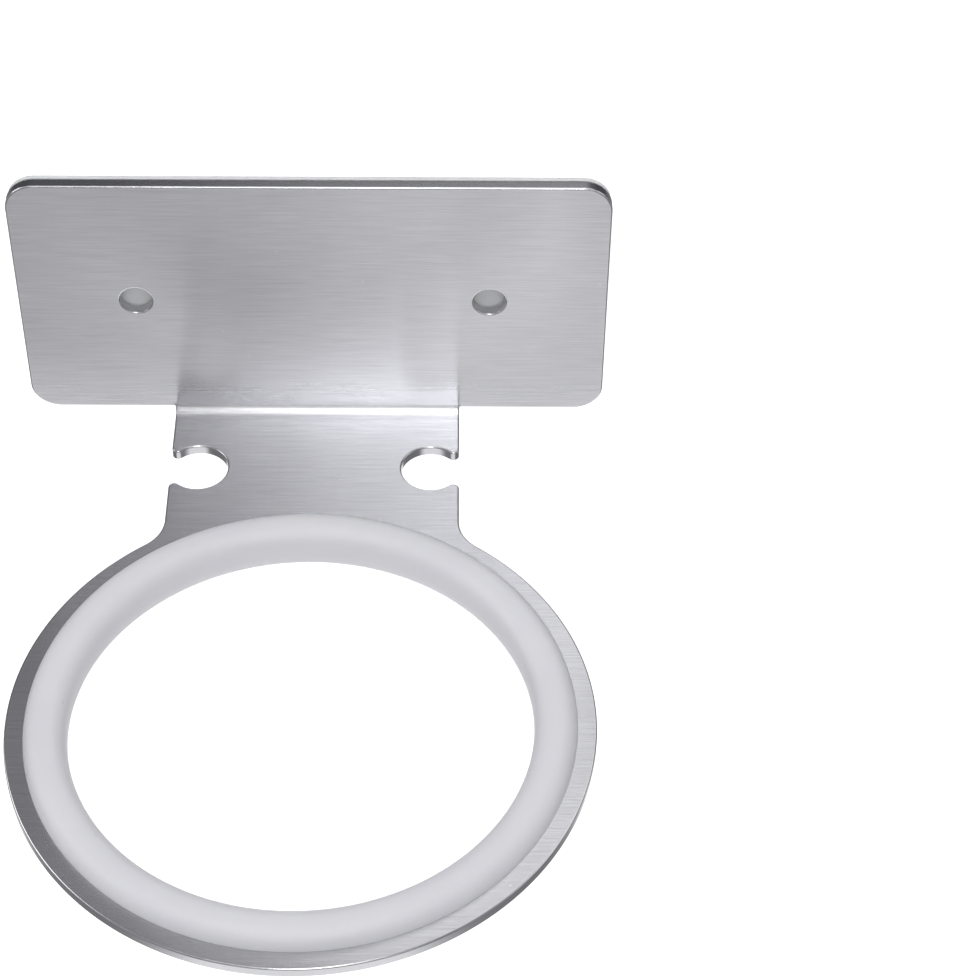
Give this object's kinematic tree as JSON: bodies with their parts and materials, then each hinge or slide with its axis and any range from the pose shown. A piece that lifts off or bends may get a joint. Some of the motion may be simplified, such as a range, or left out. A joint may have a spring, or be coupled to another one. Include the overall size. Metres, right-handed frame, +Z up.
{
  "type": "hair dryer holder",
  "caption": "Wall holder for a hair dryer: a bent steel sheet with a wall plate, a neck with a cable slot in each side, and a ring with a soft white liner.",
  "frame": {"origin": "the middle of the adhesive pad's back face, on the wall", "axes": "+Y into the wall, +Z up along the plate, +X to the right as seen from the room; the ring stands out along -Y"},
  "size_m": [0.1, 0.1201, 0.0565],
  "materials": {
    "brushed_steel": "brushed across, satin",
    "white_silicone": "smooth, soft satin",
    "adhesive_foam": "closed-cell foam with a matte adhesive face"
  },
  "bodies": {
    "root": {"steel_bracket": "brushed_steel", "ring_liner": "white_silicone", "adhesive_pad": "adhesive_foam"}
  },
  "joints": []
}
